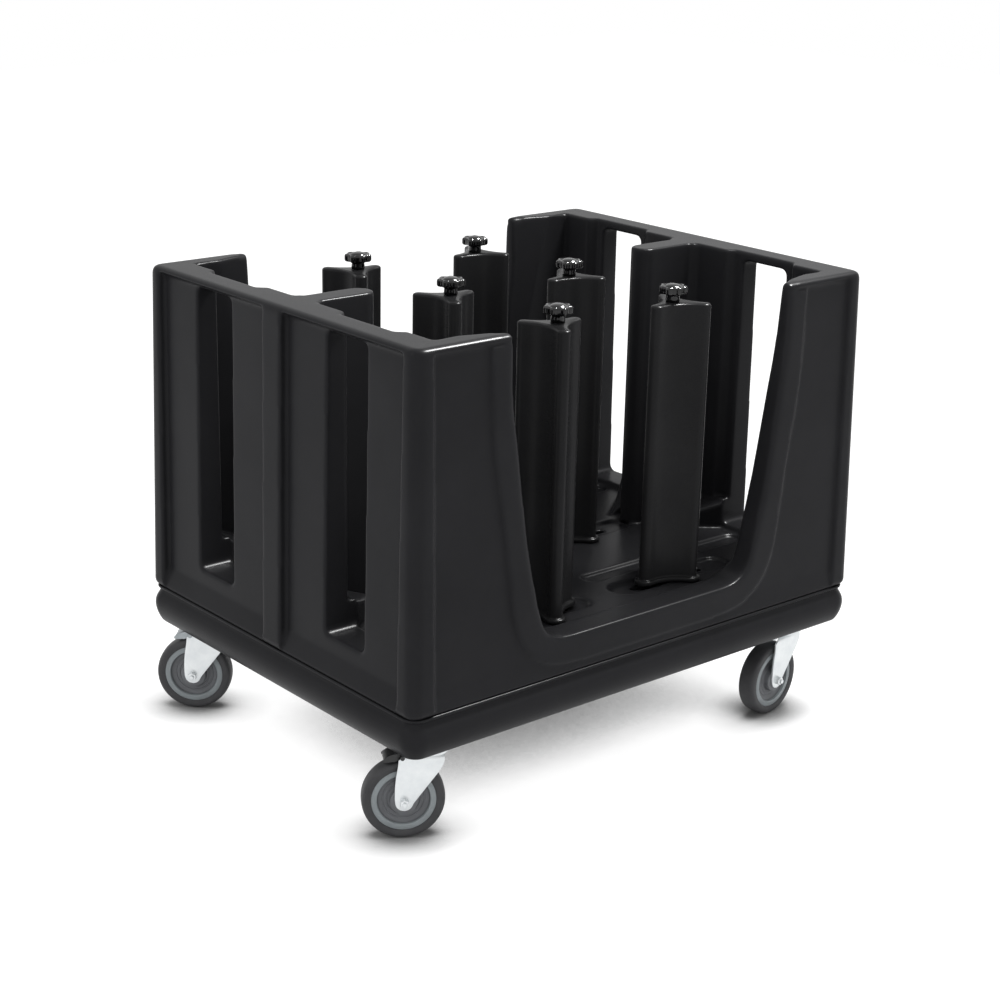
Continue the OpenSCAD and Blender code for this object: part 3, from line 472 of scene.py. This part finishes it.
def lobed(inside, z):
    ring = []
    for i in range(KNOB_STEPS):
        a = 2 * math.pi * i / KNOB_STEPS
        wave = math.cos(LOBES * a)
        if wave <= HOLLOW_LEVEL:
            wave = HOLLOW_LEVEL - (wave - HOLLOW_LEVEL) * HOLLOW_SHARE
        r = GRIP_R + LOBE_R * wave - inside
        ring.append((r * math.cos(a), r * math.sin(a), z))
    return ring


def build_knob(t):
    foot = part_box("knob_" + t)[0].z / MM
    grip = foot + GRIP_RISE
    rings = [circle(r, foot + rise, KNOB_STEPS) for r, rise in STEM]
    rings += [lobed(inside, grip + rise) for inside, rise in GRIP]
    rings += [circle(r, grip + rise, KNOB_STEPS) for r, rise in CAP]
    shape = shifted(skin(rings), *rod_place(t))
    obj = mesh_piece("star_knob_" + t, shape, [knob_plastic], "clamp_screw_" + t, smooth=60)
    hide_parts("knob_" + t)


# casters: their swivel axes from the cart's middle, and the degrees that each one's wheel trails at
CASTER_X, CASTER_Y = 389.0, 293.0
HEADING = {"lf": 148, "rf": 187, "lb": 136, "rb": 32}
# the axle's distance behind the swivel axis, and its height, which is the wheel's radius
TRAIL, WHEEL_R = 38.0, 63.5
WHEEL_STEPS = 120


# a caster is drawn with its swivel axis on the Z axis and its wheel trailing along X
def caster_frame(c):
    sx, sy = (1 if c[0] == "r" else -1), (1 if c[1] == "b" else -1)
    heading = Matrix.Rotation(math.radians(HEADING[c]), 4, "Z")
    return Matrix.Translation((sx * CASTER_X, sy * CASTER_Y, 0)) @ heading


# fork: sheet thickness, half the distance between the ears' middles, bend radius and top of the ears
SHEET, EAR_HALF, BEND_R, EAR_TOP = 3.0, 20.5, 6.0, 132.5
# front end of the top, its length, and its length at the top of the ears
TOP_FRONT, TOP_LENGTH, EAR_LENGTH = -22, 53, 69
TOP_INNER = 7.0
# steps along the edge and round the bend, and shares of the way up an ear
FORK_STATIONS, BEND_STEPS, EAR_SHARES = 60, 4, (0, 0.33, 0.66, 0.9)
# free edge of an ear from its front down round the axle and up to its back
EAR_EDGE = (
    (-22.0, 133.0), (-21.6, 128.0), (-19.5, 122.5), (-14, 113), (-4, 99.5), (6, 86), (16, 72.5), (24, 61.5),
    (27.2, 54.6), (32, 50.6), (38, 49.5), (44.6, 51), (49.6, 55.5), (51.6, 61.5),
    (52.2, 70), (52.3, 80), (51.8, 92), (50.6, 104), (48.8, 115), (47.6, 123), (47, 128.5), (47, 133.0))
# swivel crown on top of the sheet, as (radius, height)
CROWN = ((7.5, 139.6), (26, 139.6), (29.5, 140.4), (31, 142.2), (31, 144.4), (30, 146.2), (27.6, 147),
         (7.5, 147))
CROWN_STEPS = 72


# points spread evenly along a line of points
def evened(line, stations):
    pts = [Vector(p) for p in line]
    length = [0.0]
    for a, b in zip(pts, pts[1:]):
        length.append(length[-1] + (b - a).length)
    even = []
    for i in range(stations + 1):
        want = length[-1] * i / stations
        k = max(j for j in range(len(pts) - 1) if length[j] <= want)
        even.append(pts[k].lerp(pts[k + 1], (want - length[k]) / (length[k + 1] - length[k])))
    return even


# pressed steel fork: one sheet bent down into two ears, which narrow to the axle
def build_fork(c):
    rows = []
    for i, edge in enumerate(evened(EAR_EDGE, FORK_STATIONS)):
        f = i / FORK_STATIONS
        top_x = TOP_FRONT + TOP_LENGTH * f
        ear_x = TOP_FRONT + EAR_LENGTH * f
        half = [(edge.x + (ear_x - edge.x) * g, EAR_HALF, edge.y + (EAR_TOP - edge.y) * g)
                for g in EAR_SHARES]
        for k in range(BEND_STEPS + 1):
            a = math.radians(90 * k / BEND_STEPS)
            half.append((ear_x + (top_x - ear_x) * k / BEND_STEPS, EAR_HALF - BEND_R * (1 - math.cos(a)),
                         EAR_TOP + BEND_R * math.sin(a)))
        half += [(top_x, y, EAR_TOP + BEND_R) for y in (TOP_INNER, 0.0)]
        rows.append(half + [(x, -y, z) for x, y, z in half[-2::-1]])
    place = caster_frame(c)
    sheet = moved(skin(rows, closed=False, caps=False), place)
    obj = mesh_piece("pressed_fork_" + c, sheet, [bright_zinc], "swivel_" + c, smooth=50)
    thick = obj.modifiers.new("sheet", "SOLIDIFY")
    thick.thickness = SHEET * MM
    thick.offset = 0
    break_edges(obj, width=0.7, sharper_than=50)
    rings = [circle(r, z, CROWN_STEPS) for r, z in CROWN]
    crown_shape = moved(skin(rings + rings[:1], caps=False), place)
    crown = mesh_piece("swivel_crown_" + c, crown_shape, [bright_zinc], "swivel_" + c, smooth=40)
    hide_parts("fork_" + c)


# half of the tread, from its inner edge to the middle, as (radius, distance from the wheel's middle)
TREAD = ((49.4, -14.0), (52, -14.9), (56, -15.8), (58.2, -15.7), (60.4, -14.8), (62.0, -12.8), (62.9, -10.0),
         (63.4, -5.5), (63.5, 0))
# one side of the wheel centre: hub, web with two raised rings, and a rim that starts at RIM_R
WHEEL_SIDE = ((4.6, 18.5), (19.6, 18.5), (20.7, 18.0), (21, 16.8), (21, 9.4), (22.2, 8.0), (24.5, 7.5),
              (25.2, 8.3), (26.4, 8.3), (27.1, 7.5), (30.5, 7.3), (31.2, 8.1), (32.4, 8.1), (33.1, 7.3),
              (37.6, 7.6), (39.2, 8.6), (40, 10.4), (40.3, 13.2), (41.2, 14.1), (47.8, 14.1), (49.3, 13.2))
RIM_R = 39.6


# a body of revolution about the axle, from (radius, distance from the wheel's middle) points
def turned_on_axle(profile):
    rings = [[(TRAIL + x, y, WHEEL_R + z) for x, z, _ in circle(r, 0, WHEEL_STEPS)] for r, y in profile]
    return skin(rings + rings[:1], caps=False)


def build_wheel(c):
    place = caster_frame(c)
    tread = list(TREAD) + [(r, -y) for r, y in TREAD[-2::-1]]
    tyre = mesh_piece("wheel_tread_" + c, moved(turned_on_axle(tread), place), [tyre_rubber],
                      "wheel_" + c, smooth=35)
    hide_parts("tyre_" + c)
    both_sides = [(r, -y) for r, y in WHEEL_SIDE] + list(WHEEL_SIDE[::-1])
    core = mesh_piece("wheel_centre_" + c, moved(turned_on_axle(both_sides), place), [web_grey, rim_grey],
                      "wheel_" + c, smooth=35)
    unplaced = place.inverted()
    for p in core.data.polygons:
        q = unplaced @ (p.center / MM)
        p.material_index = 1 if math.hypot(q.x - TRAIL, q.z - WHEEL_R) > RIM_R else 0
    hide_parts("wheel_core_" + c)


# axle bolt: low hexagon head with a rounded top, washer and lock nut. Its rings are (radius to a hexagon's
# corner, distance along the axle, roundness), where roundness 1 is the circle inside that hexagon
HEX_STEPS = 48
# the washers lie against the ears here, and the head and the nut stand this high
EAR_OUTSIDE, HEAD_HEIGHT, NUT_HEIGHT = 22.0, 5.2, 7.8
WASHER = ((8.4, 0, 1.0), (8.4, 0.8, 1.0), (8.1, 1.1, 1.0))
SHANK = ((4.5, -21.0, 1.0), (4.5, 21.0, 1.0))
BOLT_END = ((4.3, 29.0, 1.0), (4.3, 32.4, 1.0), (3.7, 33.2, 1.0))


def hex_head(height):
    return ((7.4, 1.1, 0.0), (7.4, height - 1.0, 0.0), (7.2, height - 0.3, 0.45), (6.6, height, 1.0),
            (4.0, height, 1.0), (3.5, height - 0.5, 1.0))


def hex_ring(r, y, roundness):
    flat_r = r * math.cos(math.pi / 6)
    ring = []
    for i in range(HEX_STEPS):
        a = 2 * math.pi * i / HEX_STEPS
        off_flat = (a + math.pi / 6) % (math.pi / 3) - math.pi / 6
        d = flat_r / math.cos(off_flat) * (1 - roundness) + flat_r * roundness
        ring.append((TRAIL + d * math.cos(a), y, WHEEL_R + d * math.sin(a)))
    return ring


def build_axle(c):
    parts = []
    for side, height in ((-1, HEAD_HEIGHT), (1, NUT_HEIGHT)):
        for rings in (WASHER, hex_head(height)):
            parts.append(skin([hex_ring(r, side * (EAR_OUTSIDE + y), rounded) for r, y, rounded in rings]))
    for rings in (SHANK, BOLT_END):
        parts.append(skin([hex_ring(*ring) for ring in rings]))
    shape = moved(join(parts), caster_frame(c))
    obj = mesh_piece("axle_bolt_" + c, shape, [bright_zinc], "swivel_" + c, smooth=30)
    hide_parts("axle_" + c)


# brake: a pressed pedal with the brake shoe under it, on a cross pin at this place on the caster
PIN_PLACE, PIN_R, PIN_HALF, PIN_STEPS = (41.0, 0, 135.5), 3.4, 22.2, 32
# outline of the flat pedal's top from the pin to its tip, and back along the shoe's underside
PEDAL_TOP = ((-5.6, 1.5), (-4.4, 4.6), (-1.5, 5.9), (6, 6.2), (14, 6.5), (22, 6.6), (30, 5.6), (35.2, 4.2),
             (37.2, 2.6), (37.6, 0.4), (36.6, -2.4), (34.6, -4.0))
PEDAL_UNDER = ((30, -5.2), (24.4, -6.8), (20.4, -6.88), (17.2, -8.16), (14.6, -7.84), (12, -7.2), (8, -5.76),
               (4, -5.5), (0, -5.5), (-3.4, -4.9), (-5.2, -2.6))
# where that outline's tip is, the share of its length that the pedal has, and how far the tip droops
PEDAL_TIP, PEDAL_SHARE, PEDAL_DROOP = 37.6, 0.74, 7.0
# how its sides are broken: (distance across, how much thinner and longer the outline is there)
PEDAL_SIDES = ((-15, 1.2), (-14.2, 0.3), (-13.2, 0), (-9, 0), (9, 0), (13.2, 0), (14.2, 0.3), (15, 1.2))


def pedal_ring(outline, y, broken):
    ring = []
    for i, (x, z) in enumerate(outline):
        before, after = outline[i - 1], outline[(i + 1) % len(outline)]
        along = Vector((after[0] - before[0], after[1] - before[1])).normalized()
        ring.append((x - along.y * broken, y, z - along.x * broken))
    return ring


def build_brake(c):
    place = caster_frame(c) @ Matrix.Translation(PIN_PLACE)
    outline = [(x * PEDAL_SHARE if x > 0 else x, z - PEDAL_DROOP * (max(x, 0) / PEDAL_TIP) ** 2)
               for x, z in PEDAL_TOP + PEDAL_UNDER]
    pedal = skin([pedal_ring(outline, y, broken) for y, broken in PEDAL_SIDES])
    pin = skin([[(x, y, z) for x, z, _ in circle(PIN_R, 0, PIN_STEPS)] for y in (-PIN_HALF, PIN_HALF)])
    mat = pedal_black_coat if c == "lf" else dull_zinc
    shape = moved(join((pedal, pin)), place)
    obj = mesh_piece("brake_pedal_" + c, shape, [mat], "pedal_" + c, smooth=40)
    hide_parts("brake_" + c)


def break_edges(obj, width, sharper_than):
    soft = obj.modifiers.new("broken_edge", "BEVEL")
    soft.width = width * MM
    soft.segments = 2
    soft.limit_method = "ANGLE"
    soft.angle_limit = math.radians(sharper_than)


# pieces that keep their CAD shape get their finish and slightly broken edges
def dress(name, mat, width):
    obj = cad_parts[name]
    obj.data.materials.clear()
    obj.data.materials.append(mat)
    weld = obj.modifiers.new("weld", "WELD")
    weld.merge_threshold = WELD
    break_edges(obj, width, sharper_than=40)


# rays that show the backdrop as it is: from the camera, off gloss and through clear things
def backdrop_rays(tree):
    path = add(tree, "ShaderNodeLightPath")
    seen = path.outputs["Is Camera Ray"]
    for kind in ("Is Glossy Ray", "Is Transmission Ray"):
        either = add(tree, "ShaderNodeMath", {"operation": "MAXIMUM"}, {0: seen, 1: path.outputs[kind]})
        seen = either.outputs[0]
    return seen


# floor: half its width in metres, its grey for the light that it throws back, and the grey that takes
# the lamps' shadows where the floor is seen
FLOOR_HALF, FLOOR_PLAIN, FLOOR_SHADED = 9, (0.85, 0.85, 0.85, 1), (0.35, 0.35, 0.35, 1)
WHITE = (1, 1, 1, 1)
# its glow fades close to the wheels, and again under the cart, as painted shadow: how far each look goes in
# metres and its samples, and how the open share of what it sees turns to light
CONTACT_SHADOW_LOOK, UNDER_SHADOW_LOOK = {"Distance": 0.085, "samples": 12}, {"Distance": 1.0, "samples": 24}
CONTACT_SHADOW_SPAN = {"From Min": 0.58, "From Max": 0.98, "To Min": 0.0, "To Max": 0.92}
UNDER_SHADOW_SPAN = {"From Min": 0.1, "From Max": 0.24, "To Min": 0.03, "To Max": 1.0}
# the sky's strength for the light it gives, and where it shows as the backdrop
SKY_LIGHT, SKY_SEEN = 0.8, 1.0
# lamps: name, place, what it points at, size and power. A small softbox stands above the right front and
# a weak fill on the left. The glint only shows in gloss, as the bright line on moulded edges, and adds
# no light
GLINT = "edge_glint"
LAMPS = (("softbox", (1.0, -0.5, 2.45), (0, -0.1, 0.6), (0.32, 0.36), 20),
         ("left_fill", (-2.6, 0.2, 2.2), (0, 0, 0.5), (0.8, 1.2), 8),
         (GLINT, (1.0, -0.5, 2.45), (0, -0.1, 0.6), (0.5, 0.5), 420))


# white floor that keeps a soft shadow from the lamps, with painted shadow near the wheels and under the cart
def build_floor():
    h = FLOOR_HALF
    me = bpy.data.meshes.new("floor")
    me.from_pydata([(-h, -h, 0), (h, -h, 0), (h, h, 0), (-h, h, 0)], [], [(0, 1, 2, 3)])
    floor = placed("floor", me)
    mat = bpy.data.materials.new("floor_white")
    mat.use_nodes = True
    tree = mat.node_tree
    tree.nodes.clear()
    plain = add(tree, "ShaderNodeBsdfDiffuse", {"Color": FLOOR_PLAIN})
    shaded = add(tree, "ShaderNodeBsdfDiffuse", {"Color": FLOOR_SHADED})
    # painted shadow: ambient occlusion dims the floor's glow where the wheels touch it and under the cart
    near_sky = add(tree, "ShaderNodeAmbientOcclusion", CONTACT_SHADOW_LOOK)
    painted_contact_shadow = add(tree, "ShaderNodeMapRange", CONTACT_SHADOW_SPAN, {"Value": near_sky.outputs["AO"]})
    far_sky = add(tree, "ShaderNodeAmbientOcclusion", UNDER_SHADOW_LOOK)
    painted_under_shadow = add(tree, "ShaderNodeMapRange", UNDER_SHADOW_SPAN, {"Value": far_sky.outputs["AO"]})
    glow_after_painted_shadow = add(tree, "ShaderNodeMath", {"operation": "MULTIPLY"}, {0: painted_contact_shadow.outputs[0], 1: painted_under_shadow.outputs[0]})
    glow = add(tree, "ShaderNodeEmission", {"Color": WHITE}, {"Strength": glow_after_painted_shadow.outputs[0]})
    shown = add(tree, "ShaderNodeAddShader", {}, {0: shaded.outputs[0], 1: glow.outputs[0]})
    mix = add(tree, "ShaderNodeMixShader", {},
              {0: backdrop_rays(tree), 1: plain.outputs[0], 2: shown.outputs[0]})
    add(tree, "ShaderNodeOutputMaterial", {}, {"Surface": mix.outputs[0]})
    me.materials.append(mat)


def build_sky():
    world = bpy.data.worlds.new("studio")
    bpy.context.scene.world = world
    world.use_nodes = True
    tree = world.node_tree
    tree.nodes.clear()
    strength = add(tree, "ShaderNodeMapRange", {"To Min": SKY_LIGHT, "To Max": SKY_SEEN},
                   {"Value": backdrop_rays(tree)})
    back = add(tree, "ShaderNodeBackground", {"Color": WHITE}, {"Strength": strength.outputs[0]})
    add(tree, "ShaderNodeOutputWorld", {}, {"Surface": back.outputs[0]})


def hang_lamps():
    for name, place, aim, size, power in LAMPS:
        lamp = bpy.data.lights.new(name, "AREA")
        lamp.shape = "RECTANGLE"
        lamp.size, lamp.size_y = size
        lamp.energy = power
        obj = placed(name, lamp)
        obj.location = place
        obj.visible_diffuse = name != GLINT
        obj.rotation_euler = (Vector(aim) - Vector(place)).to_track_quat("-Z", "Y").to_euler()


look_through()
moulded_body()
groove_bead()
for t in TOWERS:
    build_tower(t)
    build_knob(t)
    dress("rod_" + t, dull_zinc, width=0.4)
    dress("clamp_" + t, dull_zinc, width=0.6)
for c in CASTERS:
    build_fork(c)
    build_wheel(c)
    build_axle(c)
    dress("caster_plate_" + c, bright_zinc, width=0.5)
for c in BRAKED:
    build_brake(c)
for name in ("caster_inserts", "caster_bolts", "kingpins", "race_rings"):
    dress(name, dull_zinc, width=0.4)
build_floor()
build_sky()
hang_lamps()
bpy.context.scene.view_settings.view_transform = "Standard"
